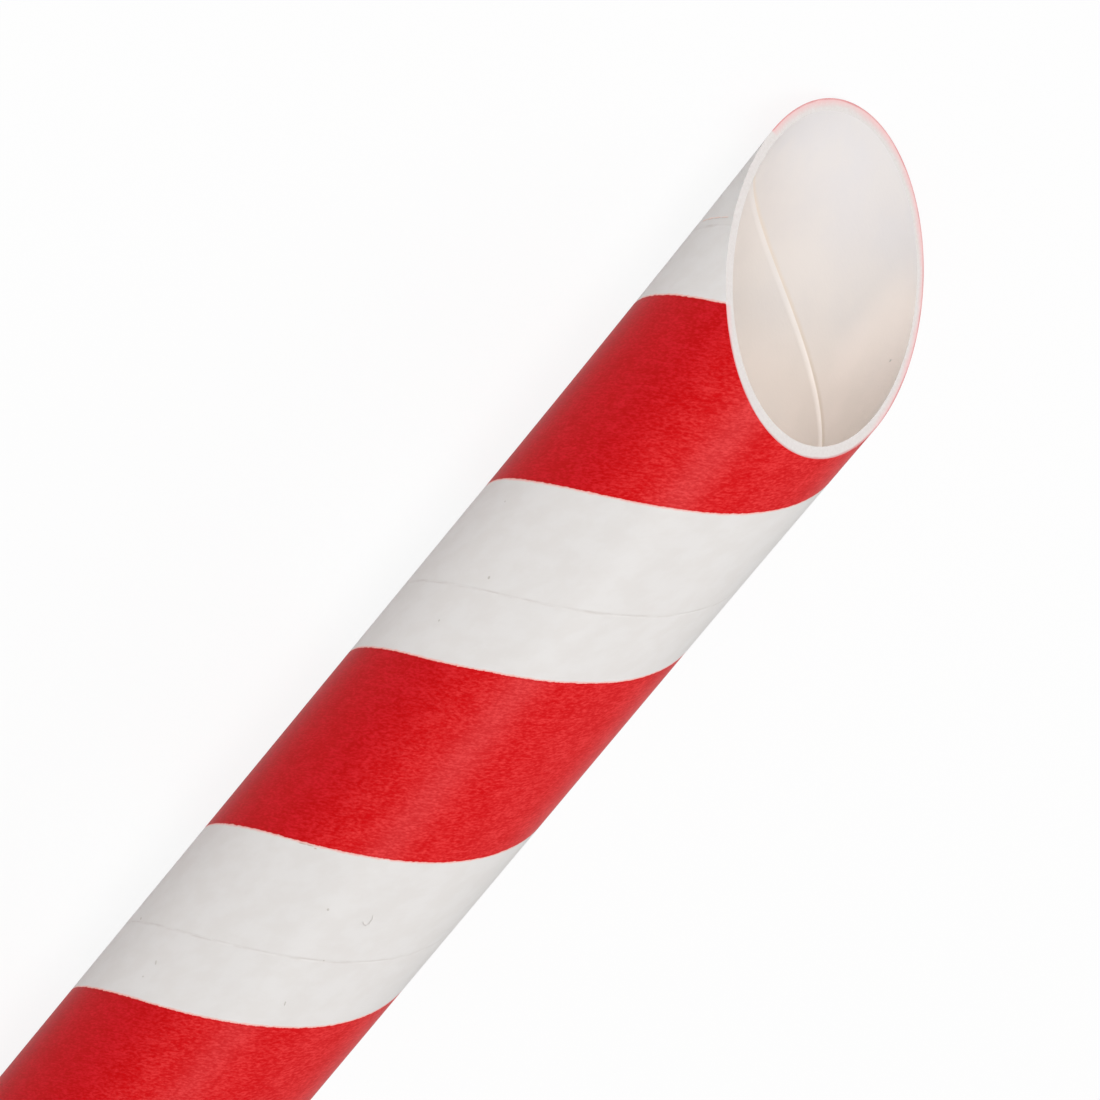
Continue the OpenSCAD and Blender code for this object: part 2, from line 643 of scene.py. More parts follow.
@dataclass(frozen=True)
class BorePaper:
    """Inner ply, a little warmer than the outside, with painted light and shade by its place in the mouth, the lap's
    glue line with painted shade in its corner and a painted highlight on the lap's slope.

    Places on the strip and the waves of a grain are in millimetres.

    Attributes:
        sizes: The straw's sizes.
        paper: Colour of the paper at the point of the tip.
        middle_paper: Colour of the paper farther back in the slanted mouth.
        painted_light_deep_paper: Brighter colour of the paper past the mouth: painted light deeper in the bore.
        painted_shade_side_paper: Darker, warmer colour of the side towards the stripe's end: painted shade.
        painted_light_far_paper: Paler colour of the other side: painted light.
        cloud: Tint of its faint clouds.
        glue_and_shade: Colour of the glue in the corner beside the lap's free edge, darkened there by painted shade.
        lap: Paler colour on the lap's slope before its free edge: a painted highlight.
        clouds: Pattern of the faint clouds.
        fibres: Pattern of the fibres along the strip.
        wander: Pattern by which the glue line wanders.
        wander_width: How far it wanders.
        middle: Share of the middle colour, by the way back from the point in metres.
        side: Share of the side's colour, by the way aside from the axis in metres.
        side_ends: Where the side's colour fades in and out, by the way back in metres.
        slant: How far the deep colour comes forward on one side, for each metre aside.
        deep: Share of the deep colour, by the way back and that slant in metres.
        far: Share of the paler colour, by the way aside from the axis in metres.
        far_start: Where the paler colour starts, by the way back in metres.
        cloudiness: Share of the clouds' tint, by their pattern.
        glue_and_shade_line: Share of the glue's colour with its painted shade, by the way past the free edge.
        lap_highlight_line: Share of that painted highlight, by the way before the free edge.
        fibre_height: Height of the fibres' relief, in metres.
        cloud_height: Height of the clouds' relief, in metres.
        roughness: How matt the paper is.
        specular: How strongly it mirrors.
    """

    sizes: StrawSizes
    paper: Colour = srgb(226, 222, 222)
    middle_paper: Colour = srgb(226, 220, 216)
    painted_light_deep_paper: Colour = srgb(249, 239, 231)
    painted_shade_side_paper: Colour = srgb(203, 190, 180)
    painted_light_far_paper: Colour = srgb(253, 241, 233)
    cloud: Colour = srgb(236, 228, 220)
    glue_and_shade: Colour = srgb(226, 211, 194)
    lap: Colour = srgb(243, 239, 236)
    clouds: Grain = Grain((0.35, 0.35, 0.35), 3.0)
    fibres: Grain = Grain((3.0, 9.0, 1.0), 3.0, 0.6)
    wander: Grain = Grain((1.2, 1.2, 1.2))
    wander_width: float = 0.12
    middle: Ramp = Ramp(2.5 * MM, 9.0 * MM)
    side: Ramp = Ramp(-3.0 * MM, 3.0 * MM)
    side_ends: tuple[Ramp, Ramp] = (Ramp(2.0 * MM, 7.0 * MM), Ramp(13.0 * MM, 8.0 * MM, 0.0, 0.35))
    slant: float = 0.7
    deep: Ramp = Ramp(11.0 * MM, 15.5 * MM)
    far: Ramp = Ramp(-4.6 * MM, -5.6 * MM)
    far_start: Ramp = Ramp(3.0 * MM, 6.0 * MM, 0.0, 0.8)
    cloudiness: Ramp = Ramp(0.35, 0.65, 0.0, 0.25)
    glue_and_shade_line: Ramp = Ramp(0.3, 0.03, 0.0, 0.62)
    lap_highlight_line: Ramp = Ramp(0.36, 0.16, 0.0, 0.1)
    fibre_height: float = 4.0e-6
    cloud_height: float = 10.0e-6
    roughness: float = 0.62
    specular: float = 0.4

    def build(self) -> bpy.types.Material:
        """Makes the material and returns it."""
        finish = Finish("bore_paper")
        strip = finish.strip_map()
        across = finish.split(strip)[1]
        clouds = finish.noise(strip, self.clouds)
        colour = finish.mix(finish.ramp(clouds, self.cloudiness), self._painted_light_and_shade(finish), self.cloud)
        # Glue in the corner past the lap's free edge, with painted shade there.
        past = finish.plus(across, finish.waver(strip, self.wander, self.wander_width))
        colour = finish.mix(finish.ramp(past, self.glue_and_shade_line), colour, self.glue_and_shade)
        # Painted highlight on the lap's slope, which faces the lamps.
        before = finish.minus(self.sizes.lead / MM, across)
        colour = finish.mix(finish.ramp(before, self.lap_highlight_line), colour, self.lap)
        relief = finish.noise(strip, self.fibres)
        normal = finish.bump(relief, self.fibre_height, finish.bump(clouds, self.cloud_height))
        return finish.coat(colour, self.roughness, self.specular, normal)

    def _painted_light_and_shade(self, finish: Finish) -> Socket:
        """Paints light and shade into the paper's colour by its place in the mouth of the straw.

        Args:
            finish: The material's recipe.

        Returns:
            The colour's socket.
        """
        along, sideways, _ = finish.split(finish.place())
        back = finish.minus(self.sizes.length / 2, along)
        colour = finish.mix(finish.ramp(back, self.middle), self.paper, self.middle_paper)
        # Painted shade: the side towards +Y is darker.
        side = finish.ramp(sideways, self.side)
        for end in self.side_ends:
            side = finish.times(side, finish.ramp(back, end))
        colour = finish.mix(side, colour, self.painted_shade_side_paper)
        # Painted light: the paper deeper in the bore is brighter.
        inwards = finish.minus(back, finish.times(sideways, self.slant))
        colour = finish.mix(finish.ramp(inwards, self.deep), colour, self.painted_light_deep_paper)
        # Painted light: the side towards -Y is paler.
        far = finish.times(finish.ramp(sideways, self.far), finish.ramp(back, self.far_start))
        return finish.mix(far, colour, self.painted_light_far_paper)


@dataclass(frozen=True)
class CutPaper:
    """Cut edge of the wall: raw white fibres, through which the ink of the outer face shows.

    The slanted cut leaves a thin wedge of paper over the ink at the point, so it shows there most.

    Attributes:
        sizes: The straw's sizes.
        paper: Colour of the raw paper, kept darker than the faces of the ply as painted shade against the lamps that
            face the slanted cut.
        paper_shade: Colour between its fibres, darkened the same way.
        stained: Colour of paper through which the ink shows.
        ink: Colour of the ink seen on edge.
        fibres: Pattern of the cut fibres, in waves to a metre.
        patches: Pattern of the patchy stain, in waves to a metre.
        fibre_shade: Share of the colour between the fibres, by their pattern.
        striped: Share of stripe, by the way inside it in millimetres.
        wedge: How deep the stain shows, by the way from the tip's short side as a share of its reach.
        stain_depth: Depth that the stain has everywhere, as a share of the wall.
        stain_patches: How much the patches add to that depth.
        stain_fibres: How much the fibres add to it.
        stain: Share of the stained colour, by how far the stain goes past a place.
        film_patches: How much the patches thin the film of ink.
        film: Share of the ink on edge, by the depth in the wall.
        fibre_height: Height of the fibres' relief, in metres.
        roughness: How matt the edge is.
        specular: How strongly it mirrors.
    """

    sizes: StrawSizes
    # Painted shade: the cut's raw paper is darker than the faces of the ply, since the slanted cut faces the lamps.
    paper: Colour = srgb(206, 201, 199)
    paper_shade: Colour = srgb(201, 195, 192)
    stained: Colour = srgb(221, 173, 173)
    ink: Colour = srgb(190, 96, 98)
    fibres: Grain = Grain((9000.0, 9000.0, 9000.0), 3.0, 0.6)
    patches: Grain = Grain((600.0, 600.0, 600.0))
    fibre_shade: Ramp = Ramp(0.3, 0.7)
    striped: Ramp = Ramp(-0.1, 0.1)
    wedge: Ramp = Ramp(0.0, 0.35, 0.1, 0.9)
    stain_depth: float = 0.45
    stain_patches: float = 0.8
    stain_fibres: float = 0.3
    stain: Ramp = Ramp(0.0, 0.9, 0.0, 0.75)
    film_patches: float = 0.3
    film: Ramp = Ramp(0.36, 0.16, 0.0, 0.65)
    fibre_height: float = 3.0e-6
    roughness: float = 0.85
    specular: float = 0.25

    def build(self) -> bpy.types.Material:
        """Makes the material and returns it."""
        finish = Finish("cut_paper")
        across = finish.split(finish.strip_map())[1]
        striped = finish.ramp(finish.inside_stripe(self.sizes, across), self.striped)
        depth = finish.node("ShaderNodeAttribute", attribute_name=WALL_DEPTH).outputs["Fac"]
        place = finish.place()
        fibres = finish.noise(place, self.fibres)
        patches = finish.noise(place, self.patches)
        from_short_side = finish.minus(finish.split(place)[0], self.sizes.length / 2 - self.sizes.tip_reach)
        wedge = finish.ramp(finish.times(from_short_side, 1 / self.sizes.tip_reach), self.wedge)
        wander = finish.plus(finish.times(patches, self.stain_patches), finish.times(fibres, self.stain_fibres))
        stained = finish.minus(finish.times(wedge, finish.plus(wander, self.stain_depth)), depth)
        film = finish.ramp(finish.plus(depth, finish.times(patches, self.film_patches)), self.film)
        colour = finish.mix(finish.ramp(fibres, self.fibre_shade), self.paper, self.paper_shade)
        colour = finish.mix(finish.times(striped, finish.ramp(stained, self.stain)), colour, self.stained)
        colour = finish.mix(finish.times(striped, film), colour, self.ink)
        return finish.coat(colour, self.roughness, self.specular, finish.bump(fibres, self.fibre_height))


@dataclass(frozen=True)
class PlainFinish:
    """A finish of one colour with a fine grain, for loose fibres, specks and the hair.

    Attributes:
        name: The material's name.
        colour: Its main colour.
        shade: The colour of its grain.
        roughness: How matt it is.
        specular: How strongly it mirrors.
        grain: Its pattern, in waves to a metre.
    """

    name: str
    colour: Colour
    shade: Colour
    roughness: float = 0.8
    specular: float = 0.3
    grain: Grain = Grain((12000.0, 12000.0, 12000.0))

    def build(self) -> bpy.types.Material:
        """Makes the material and returns it."""
        finish = Finish(self.name)
        grain = finish.noise(finish.place(), self.grain)
        return finish.coat(finish.mix(grain, self.colour, self.shade), self.roughness, self.specular)


def add_input(tree: bpy.types.GeometryNodeTree, name: str, kind: str, default: Optional[float] = None) -> None:
    """Adds a named input to a geometry tree.

    Args:
        tree: The tree.
        name: The input's name.
        kind: Blender's name for the socket type.
        default: Its value until one is set.
    """
    socket = tree.interface.new_socket(name=name, in_out="INPUT", socket_type=kind)
    if default is not None:
        socket.default_value = default


def start_tree(name: str, lengths: Iterable[str]) -> bpy.types.GeometryNodeTree:
    """Starts a geometry tree that takes a shape, some lengths and a finish.

    Args:
        name: The tree's name.
        lengths: Names of the inputs that are numbers.

    Returns:
        The tree.
    """
    tree = bpy.data.node_groups.new(name, "GeometryNodeTree")
    tree.interface.new_socket(name="Geometry", in_out="OUTPUT", socket_type="NodeSocketGeometry")
    add_input(tree, "Geometry", "NodeSocketGeometry")
    for length in lengths:
        add_input(tree, length, "NodeSocketFloat", MM)
    add_input(tree, "Finish", "NodeSocketMaterial")
    return tree


def end_tree(recipe: Recipe, shape: Socket, finish: Socket) -> None:
    """Makes a tree's result real, dresses it in its finish and hands it out.

    Args:
        recipe: The tree's recipe.
        shape: The result.
        finish: The finish that came in.
    """
    real = recipe.node("GeometryNodeRealizeInstances")
    recipe.feed(real.inputs["Geometry"], shape)
    dressed = recipe.node("GeometryNodeSetMaterial")
    recipe.feed(dressed.inputs["Geometry"], real.outputs[0])
    recipe.feed(dressed.inputs["Material"], finish)
    recipe.feed(recipe.node("NodeGroupOutput").inputs[0], dressed.outputs[0])


def run_tree(
    source: bpy.types.Object, tree: bpy.types.GeometryNodeTree, values: dict[str, object], name: str
) -> bpy.types.Mesh:
    """Runs a geometry tree on an object and keeps the result as a plain mesh.

    Args:
        source: The object whose mesh goes in. It is removed afterwards.
        tree: The tree.
        values: A value for each named input.
        name: The new mesh's name.

    Returns:
        The plain mesh.
    """
    modifier = source.modifiers.new(tree.name, "NODES")
    modifier.node_group = tree
    for item in tree.interface.items_tree:
        if item.item_type == "SOCKET" and item.in_out == "INPUT" and item.name in values:
            modifier[item.identifier] = values[item.name]
    depsgraph = bpy.context.evaluated_depsgraph_get()
    mesh = bpy.data.meshes.new_from_object(
        source.evaluated_get(depsgraph), preserve_all_data_layers=True, depsgraph=depsgraph)
    mesh.name = name
    source.modifiers.remove(modifier)
    old = source.data
    bpy.data.objects.remove(source)
    bpy.data.meshes.remove(old)
    return mesh


def winding_tree() -> bpy.types.GeometryNodeTree:
    """Builds the tree that winds a flat strip round the bore.

    The strip's points hold the turned angle, the way across the strip and the height over the wall.

    Returns:
        The tree, with the winding's sizes as named inputs.
    """
    tree = start_tree(
        "wind_strip", ("Radius", "Lead", "Start", "Straw Length", "Spread", "Spread Length", "Axis Height"))
    recipe = Recipe(tree)
    entry = recipe.node("NodeGroupInput").outputs
    angle, across, height = recipe.split(recipe.node("GeometryNodeInputPosition").outputs[0])
    turns = recipe.math("DIVIDE", angle, math.tau)
    along = recipe.plus(recipe.times(turns, entry["Lead"]), recipe.plus(entry["Start"], across))
    past = recipe.minus(along, recipe.minus(entry["Straw Length"], entry["Spread Length"]))
    share = recipe.math("MAXIMUM", recipe.math("DIVIDE", past, entry["Spread Length"]), 0.0)
    sprung = recipe.times(recipe.math("POWER", share, 2.0), entry["Spread"])
    radius = recipe.plus(recipe.plus(entry["Radius"], height), sprung)
    wound = recipe.node("ShaderNodeCombineXYZ")
    recipe.feed(wound.inputs[0], recipe.minus(along, recipe.math("DIVIDE", entry["Straw Length"], 2.0)))
    recipe.feed(wound.inputs[1], recipe.times(radius, recipe.math("SINE", angle)))
    drop = recipe.times(radius, recipe.math("COSINE", angle))
    recipe.feed(wound.inputs[2], recipe.minus(entry["Axis Height"], drop))
    placed = recipe.node("GeometryNodeSetPosition")
    recipe.feed(placed.inputs["Geometry"], entry["Geometry"])
    recipe.feed(placed.inputs["Position"], wound.outputs[0])
    end_tree(recipe, placed.outputs[0], entry["Finish"])
    return tree


def fibre_tree() -> bpy.types.GeometryNodeTree:
    """Builds the tree that scatters short bent paper fibres over a cut edge.

    Returns:
        The tree, with density, length, thickness and seed as named inputs.
    """
    tree = start_tree("scatter_fibres", ("Density", "Fibre Length", "Fibre Radius"))
    add_input(tree, "Seed", "NodeSocketInt", 1)
    recipe = Recipe(tree)
    entry = recipe.node("NodeGroupInput").outputs
    points = recipe.node("GeometryNodeDistributePointsOnFaces", distribute_method="RANDOM")
    recipe.feed(points.inputs["Mesh"], entry["Geometry"])
    recipe.feed(points.inputs["Density"], entry["Density"])
    recipe.feed(points.inputs["Seed"], entry["Seed"])
    thread = bent_fibre(recipe, entry["Fibre Length"], entry["Fibre Radius"])
    most_tilt, least_size = 0.9, 0.35
    tilt = recipe.node("FunctionNodeRandomValue", data_type="FLOAT_VECTOR")
    tilt.inputs[0].default_value = (-most_tilt, -most_tilt, 0.0)
    tilt.inputs[1].default_value = (most_tilt, most_tilt, math.tau)
    recipe.feed(tilt.inputs["Seed"], entry["Seed"])
    turned = recipe.node("FunctionNodeRotateRotation", rotation_space="LOCAL")
    recipe.feed(turned.inputs["Rotation"], points.outputs["Rotation"])
    recipe.feed(turned.inputs["Rotate By"], tilt.outputs[0])
    size = recipe.node("FunctionNodeRandomValue", data_type="FLOAT")
    size.inputs[2].default_value = least_size
    size.inputs[3].default_value = 1.0
    recipe.feed(size.inputs["Seed"], entry["Seed"])
    placed = recipe.node("GeometryNodeInstanceOnPoints")
    recipe.feed(placed.inputs["Points"], points.outputs["Points"])
    recipe.feed(placed.inputs["Instance"], thread)
    recipe.feed(placed.inputs["Rotation"], turned.outputs[0])
    recipe.feed(placed.inputs["Scale"], size.outputs[1])
    end_tree(recipe, placed.outputs[0], entry["Finish"])
    return tree


def bent_fibre(recipe: Recipe, length: Socket, radius: Socket) -> Socket:
    """Bends one fibre out of the paper.

    Args:
        recipe: The scatter tree's recipe.
        length: The fibre's length.
        radius: Half its thickness.

    Returns:
        The fibre's mesh, with four straight steps and four sides.
    """
    steps = sides = 4
    bend = recipe.node("GeometryNodeCurveQuadraticBezier")
    bend.inputs["Resolution"].default_value = steps
    for socket, share in (("Start", (0.0, 0.0, -0.2)), ("Middle", (0.1, 0.0, 0.5)), ("End", (0.7, 0.2, 0.8))):
        scaled = recipe.node("ShaderNodeVectorMath", operation="SCALE")
        scaled.inputs[0].default_value = share
        recipe.feed(scaled.inputs["Scale"], length)
        recipe.feed(bend.inputs[socket], scaled.outputs[0])
    profile = recipe.node("GeometryNodeCurvePrimitiveCircle")
    profile.inputs["Resolution"].default_value = sides
    recipe.feed(profile.inputs["Radius"], radius)
    thread = recipe.node("GeometryNodeCurveToMesh")
    recipe.feed(thread.inputs["Curve"], bend.outputs[0])
    recipe.feed(thread.inputs["Profile Curve"], profile.outputs[0])
    thread.inputs["Fill Caps"].default_value = True
    return thread.outputs[0]


def add_object(name: str, mesh: bpy.types.Mesh) -> bpy.types.Object:
    """Puts a mesh into the scene as an object at the origin, and returns the object."""
    made = bpy.data.objects.new(name, mesh)
    bpy.context.scene.collection.objects.link(made)
    return made


@dataclass
class WoundStraw:
    """The straw itself: two wound skins, joined by the cut edges at both ends.

    Attributes:
        sizes: The straw's sizes.
        columns: Straight steps in one turn.
        seam_width: Width of the outer seam's groove, along the straw.
        seam_depth: Depth of that groove.
        seam_shoulder: Share of that depth that is left half way to the groove's lip.
        lap_width: Width of the inner lap's slope, along the straw.
        lap_height: Height of the lap's free edge.
        guard: Narrow flat row beside a seam, which keeps its shading off the wide rows.
        row_width: Widest row of faces across the strip.
        spare: Length wound past each cut.
        crown: How far the middle of a cut edge stands over its corners.
        weld: Points nearer than this become one.
        slack: How far a point may lie off a cut's plane.
    """

    sizes: StrawSizes
    columns: int = 120
    seam_width: float = 0.16 * MM
    seam_depth: float = 0.007 * MM
    seam_shoulder: float = 0.7
    lap_width: float = 0.34 * MM
    lap_height: float = 0.03 * MM
    guard: float = 0.03 * MM
    row_width: float = 1.4 * MM
    spare: float = 2.0 * MM
    crown: float = 0.015 * MM
    weld: float = 0.0015 * MM
    slack: float = 0.001 * MM

    def build(self) -> bpy.types.Object:
        """Winds, joins and cuts the straw.

        Returns:
            The finished object, with one material slot for each face of the wall.
        """
        tree = winding_tree()
        finishes = {
            Face.PRINTED: PrintedPaper(self.sizes).build(),
            Face.BORE: BorePaper(self.sizes).build(),
            Face.CUT: CutPaper(self.sizes).build(),
        }
        outer = self._wind(Skin.OUTER, tree, finishes[Face.PRINTED])
        inner = self._wind(Skin.INNER, tree, finishes[Face.BORE])
        mesh = self._join(outer, inner)
        for face in Face:
            mesh.materials.append(finishes[face])
        return add_object("straw_wall", mesh)

    def _rows(self, skin: Skin) -> list[tuple[float, float]]:
        """Lists the strip's rows of points from edge to edge.

        Args:
            skin: The side of the wall.

        Returns:
            Way across the strip and height over the wall, for each row.
        """
        lead = self.sizes.lead
        if skin is Skin.OUTER:
            lip = self.seam_width / 2
            shoulder = self.seam_depth * self.seam_shoulder
            first = [(0.0, -self.seam_depth), (lip / 2, -shoulder), (lip, 0.0), (lip + self.guard, 0.0)]
            last = [(lead - across, height) for across, height in reversed(first)]
        else:
            edge = self.guard / 2
            first = [(0.0, 0.0), (self.guard, 0.0)]
            slope = lead - self.lap_width
            last = [(slope - self.guard, 0.0), (slope, 0.0), (lead - edge, -self.lap_height), (lead, 0.0)]
        gap = last[0][0] - first[-1][0]
        count = math.ceil(gap / self.row_width)
        between = [(first[-1][0] + gap * step / count, 0.0) for step in range(1, count)]
        return first + between + last

    def _wind(self, skin: Skin, tree: bpy.types.GeometryNodeTree, finish: bpy.types.Material) -> bpy.types.Mesh:
        """Lays out one flat strip with its map, and winds it.

        Args:
            skin: The side of the wall.
            tree: The winding tree.
            finish: The strip's material.

        Returns:
            The wound mesh, its turns not yet joined.
        """
        sizes = self.sizes
        rows = self._rows(skin)
        radius = sizes.outer_radius if skin is Skin.OUTER else sizes.bore_radius
        past_stripe = sizes.seam_from_stripe if skin is Skin.OUTER else sizes.lap_from_stripe
        start = sizes.stripe_top + past_stripe
        step = math.tau / self.columns
        first = math.floor((-self.spare - sizes.lead - start) / sizes.lead * self.columns)
        last = math.ceil((sizes.length + self.spare - start) / sizes.lead * self.columns)
        points = [(column * step, across, height) for column in range(first, last + 1) for across, height in rows]
        count = len(rows)
        faces = []
        for column in range(last - first):
            for row in range(count - 1):
                corner = column * count + row
                ring = (corner, corner + 1, corner + count + 1, corner + count)
                faces.append(ring if skin is Skin.INNER else ring[::-1])
        mesh = bpy.data.meshes.new(f"flat_{skin.value}_strip")
        mesh.from_pydata(points, [], faces)
        along = math.hypot(radius, sizes.lead / math.tau) / MM
        layer = mesh.uv_layers.new(name=STRIP_MAP)
        for loop in mesh.loops:
            angle, across, _ = points[loop.vertex_index]
            layer.data[loop.index].uv = (angle * along, across / MM)
        values = {
            "Radius": radius, "Lead": sizes.lead, "Start": start, "Straw Length": sizes.length,
            "Spread": sizes.tip_spread, "Spread Length": sizes.spread_length,
            "Axis Height": sizes.axis_height, "Finish": finish,
        }
        return run_tree(add_object(mesh.name, mesh), tree, values, f"wound_{skin.value}_strip")

    def _join(self, outer: bpy.types.Mesh, inner: bpy.types.Mesh) -> bpy.types.Mesh:
        """Joins the turns, cuts both ends and closes the wall between the skins.

        Args:
            outer: The wound outer strip.
            inner: The wound inner strip.

        Returns:
            The closed mesh, with the depth in the wall as an attribute.
        """
        shape = bmesh.new()
        for face, mesh in ((Face.PRINTED, outer), (Face.BORE, inner)):
            known = len(shape.faces)
            shape.from_mesh(mesh)
            shape.faces.ensure_lookup_table()
            for polygon in shape.faces[known:]:
                polygon.material_index = face.value
            bpy.data.meshes.remove(mesh)
        bmesh.ops.remove_doubles(shape, verts=shape.verts, dist=self.weld)
        depth = shape.verts.layers.float.new(WALL_DEPTH)
        for vertex in shape.verts:
            vertex[depth] = 0.0 if vertex.link_faces[0].material_index == Face.PRINTED.value else 1.0
        for place, normal in (self.sizes.tip_plane, self.sizes.square_plane):
            self._cut(shape, place, normal)
        bmesh.ops.recalc_face_normals(shape, faces=shape.faces)
        for polygon in shape.faces:
            polygon.smooth = True
        for edge in shape.edges:
            edge.smooth = len({polygon.material_index for polygon in edge.link_faces}) == 1
        mesh = bpy.data.meshes.new("straw_wall")
        shape.to_mesh(mesh)
        shape.free()
        mesh.validate()
        return mesh

    def _cut(self, shape: bmesh.types.BMesh, place: Vector, normal: Vector) -> None:
        """Cuts the tube with a plane and closes the wall there.

        Args:
            shape: The tube so far.
            place: A point of the plane.
            normal: The side that is cut away.
        """
        everything = shape.verts[:] + shape.edges[:] + shape.faces[:]
        bmesh.ops.bisect_plane(
            shape, geom=everything, dist=self.slack / 100, plane_co=place, plane_no=normal, clear_outer=True)
        open_edges = [
            edge for edge in shape.edges
            if edge.is_boundary and all(abs((vertex.co - place).dot(normal)) < self.slack for vertex in edge.verts)
        ]
        loops = {face: self._ordered(open_edges, face) for face in (Face.PRINTED, Face.BORE)}
        self._close_ring(shape, loops[Face.PRINTED], loops[Face.BORE], normal)

    def _ordered(self, edges: Iterable[bmesh.types.BMEdge], face: Face) -> list[bmesh.types.BMVert]:
        """Walks along the open edges of one skin.

        Args:
            edges: The open edges of both skins.
            face: The skin's face.

        Returns:
            The skin's open points, from the smallest angle about the axis round to the largest.
        """
        beside: dict[bmesh.types.BMVert, list[bmesh.types.BMVert]] = {}
        for edge in edges:
            if edge.link_faces[0].material_index == face.value:
                for here, there in (edge.verts, reversed(edge.verts)):
                    beside.setdefault(here, []).append(there)
        first = min(beside, key=lambda vertex: self.sizes.angle_of(vertex.co))
        walk = [first, min(beside[first], key=lambda vertex: self.sizes.angle_of(vertex.co))]
        while len(walk) < len(beside):
            walk.append(next(vertex for vertex in beside[walk[-1]] if vertex is not walk[-2]))
        return walk

    def _close_ring(
        self, shape: bmesh.types.BMesh, outer: list[bmesh.types.BMVert], inner: list[bmesh.types.BMVert], normal: Vector
    ) -> None:
        """Fills the ring between two open loops with a row of triangles on either side of a middle loop.

        Args:
            shape: The tube so far.
            outer: The outer skin's open points, by angle.
            inner: The inner skin's open points, by angle.
            normal: The way the cut edge faces.
        """
        depth = shape.verts.layers.float[WALL_DEPTH]
        layer = shape.loops.layers.uv[STRIP_MAP]
        middle = []
        for column in range(self.columns * 2):
            angle = (column + 0.5) * math.pi / self.columns - math.pi
            halfway = (self._at(outer, angle) + self._at(inner, angle)) / 2
            made = shape.verts.new(halfway + normal * self.crown)
            made[depth] = 0.5
            middle.append(made)
        for first, second in ((outer, middle), (middle, inner)):
            for corners in self._zip(first, second):
                polygon = shape.faces.new(corners)
                polygon.material_index = Face.CUT.value
                self._map_cut(polygon, layer)

    def _at(self, ring: list[bmesh.types.BMVert], angle: float) -> Vector:
        """Finds the place on an open loop at an angle, on the straight line between the two nearest points.

        Args:
            ring: The loop's points, by angle.
            angle: The angle about the axis.

        Returns:
            The place.
        """
        angles = [self.sizes.angle_of(vertex.co) for vertex in ring]
        after = bisect.bisect_left(angles, angle) % len(ring)
        before = after - 1
        span = (angles[after] - angles[before]) % math.tau
        share = ((angle - angles[before]) % math.tau) / span if span else 0.0
        return ring[before].co.lerp(ring[after].co, share)

    def _map_cut(self, polygon: bmesh.types.BMFace, layer: bmesh.types.BMLayerItem) -> None:
        """Gives a cut face its place on the outer strip's map, without a jump inside the face.

        Args:
            polygon: The cut face.
            layer: The strip's map.
        """
        sizes = self.sizes
        lead = sizes.lead / MM
        start = sizes.stripe_top + sizes.seam_from_stripe
        places = []
        for loop in polygon.loops:
            angle = sizes.angle_of(loop.vert.co)
            from_end = loop.vert.co.x + sizes.length / 2
            across = ((from_end - start - angle / math.tau * sizes.lead) / MM) % lead
            if places and abs(across - places[0]) > lead / 2:
                across += lead if places[0] > across else -lead
            places.append(across)
            loop[layer].uv = (angle * sizes.outer_radius / MM, across)

    def _zip(self, first: list[bmesh.types.BMVert], second: list[bmesh.types.BMVert]) -> list[tuple]:
        """Joins two closed loops of points with triangles, always at the smaller angle.

        Args:
            first: Points of one loop, by angle.
            second: Points of the other loop, by angle.

        Returns:
            Three corners for each triangle.
        """
        angles = [[self.sizes.angle_of(vertex.co) for vertex in ring] + [math.inf] for ring in (first, second)]
        corners = []
        i = j = 0
        while i < len(first) or j < len(second):
            here, there = first[i % len(first)], second[j % len(second)]
            if self._next(angles[0], i) <= self._next(angles[1], j):
                corners.append((here, first[(i + 1) % len(first)], there))
                i += 1
            else:
                corners.append((here, second[(j + 1) % len(second)], there))
                j += 1
        return corners

    @staticmethod
    def _next(angles: list[float], index: int) -> float:
        """Returns the angle of a loop's next point, a full turn on for the step that closes it."""
        count = len(angles) - 1
        if index >= count:
            return math.inf
        return angles[index + 1] if index + 1 < count else angles[0] + math.tau


@dataclass
class CutFibres:
    """Short loose fibres that stand out of the cut edges.

    Attributes:
        wall: The finished wall.
        density: Fibres on a square metre of cut edge.
        length: Length of the longest fibre.
        radius: Its thickness on the radius.
        seed: Seed of the scatter.
    """

    wall: bpy.types.Object
    density: float = 2.5e6
    length: float = 0.10 * MM
    radius: float = 0.004 * MM
    seed: int = 7

    def build(self) -> bpy.types.Object:
        """Scatters the fibres over the cut faces and returns them as one object."""
        shape = bmesh.new()
        shape.from_mesh(self.wall.data)
        kept = [face for face in shape.faces if face.material_index != Face.CUT.value]
        bmesh.ops.delete(shape, geom=kept, context="FACES")
        mesh = bpy.data.meshes.new("cut_faces")
        shape.to_mesh(mesh)
        shape.free()
        finish = PlainFinish("paper_fibre", srgb(238, 235, 232), srgb(226, 221, 216), 0.9).build()
        values = {
            "Density": self.density, "Fibre Length": self.length, "Fibre Radius": self.radius,
            "Seed": self.seed, "Finish": finish,
        }
        fibres = run_tree(add_object(mesh.name, mesh), fibre_tree(), values, "cut_edge_fibres")
        return add_object(fibres.name, fibres)


@dataclass(frozen=True)
class Speck:
    """One flat grain that lies on the straw.

    Attributes:
        back: Way back from the point of the tip, in millimetres.
        angle: Angle about the axis from the long side, in degrees.
        length: Its length in millimetres.
        width: Its width in millimetres.
        turn: Turn of its length from the straw's length, in degrees.
        inside: Whether it lies in the bore.
    """

    back: float
    angle: float
    length: float
    width: float
    turn: float = 0.0
    inside: bool = False


